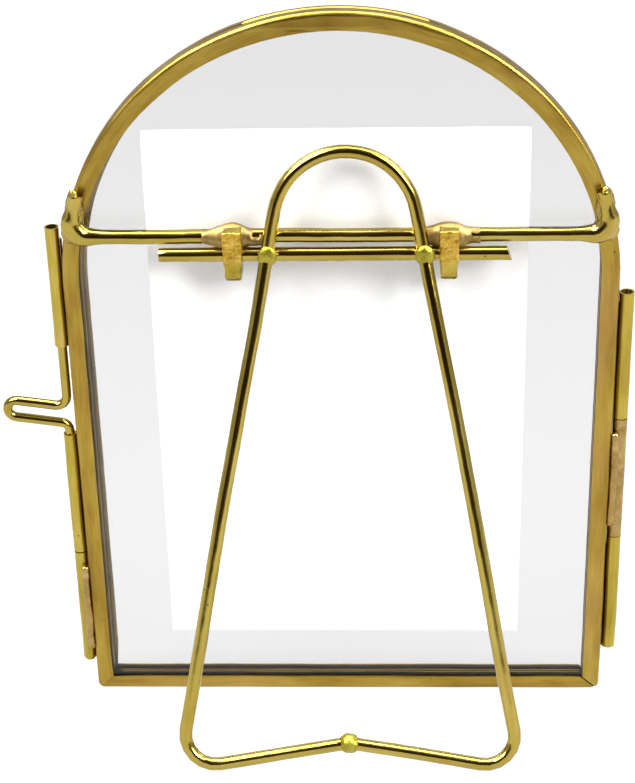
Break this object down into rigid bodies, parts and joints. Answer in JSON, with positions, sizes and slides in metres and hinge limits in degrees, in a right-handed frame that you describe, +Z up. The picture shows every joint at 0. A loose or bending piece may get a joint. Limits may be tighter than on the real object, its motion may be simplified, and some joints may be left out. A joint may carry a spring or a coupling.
{
  "type": "hinged glass photo frame",
  "caption": "Arched double-glazed brass picture frame: two glazed halves hinged at one side, locked by a lift-out wire pin, propped by a folding bent wire stand.",
  "frame": {"origin": "bottom centre of the bounding box, on the surface that the frame stands on", "axes": "+Z up, +X towards the latch side, which is on the left seen from behind, +Y towards the back, where the stand is; the frame leans 14 degrees back"},
  "size_m": [0.175, 0.0666, 0.2034],
  "materials": {
    "brass_strip": "folded strip, aged and lightly polished, fine scratches and pits",
    "brass_wire": "drawn wire, aged, lightly polished",
    "brass_tube": "seamed tube, aged, lightly polished",
    "cast_brass": "sawn and filed block, grainy",
    "solder": "hard solder, dull, lumpy",
    "glass": "clear float glass",
    "paper": "blank white paper"
  },
  "bodies": {
    "back_half": {"back_rim": "brass_strip", "back_sill": "brass_strip", "back_glass": "glass", "blank_print": "paper", "crossbar": "brass_wire", "crossbar_solder_left": "solder", "crossbar_solder_right": "solder", "lug_left": "cast_brass", "lug_right": "cast_brass", "lug_solder_left": "solder", "lug_solder_right": "solder", "hinge_knuckle_middle": "brass_tube", "hinge_solder_middle": "solder", "latch_tube_bottom": "brass_tube", "latch_solder_bottom": "solder"},
    "front_half": {"front_rim": "brass_strip", "front_sill": "brass_strip", "front_glass": "glass", "hinge_knuckle_top": "brass_tube", "hinge_knuckle_bottom": "brass_tube", "hinge_solder_top": "solder", "hinge_solder_bottom": "solder", "hinge_pin": "brass_wire", "latch_tube_top": "brass_tube", "latch_tube_middle": "brass_tube", "latch_solder_top": "solder", "latch_solder_middle": "solder"},
    "latch_pin": {"latch_pin": "brass_wire"},
    "stand": {"pivot_rod": "brass_wire", "stand_wire": "brass_wire", "stand_solder_left": "solder", "stand_solder_right": "solder", "foot_solder": "solder"}
  },
  "joints": [
    {"name": "door_hinge", "type": "hinge", "parent": "back_half", "child": "front_half", "pos_m": [-0.08545, -0.03035, 0.00054], "axis": [0, -0.2419, -0.9703], "range_deg": [0, 170]},
    {"name": "latch_slide", "type": "slide", "parent": "front_half", "child": "latch_pin", "axis": [0, 0.2419, 0.9703], "range_m": [0, 0.016]},
    {"name": "stand_fold", "type": "hinge", "parent": "back_half", "child": "stand", "pos_m": [-0.0081, 0.01071, 0.1383], "axis": [-1, 0, 0], "range_deg": [0, 22.5]}
  ]
}
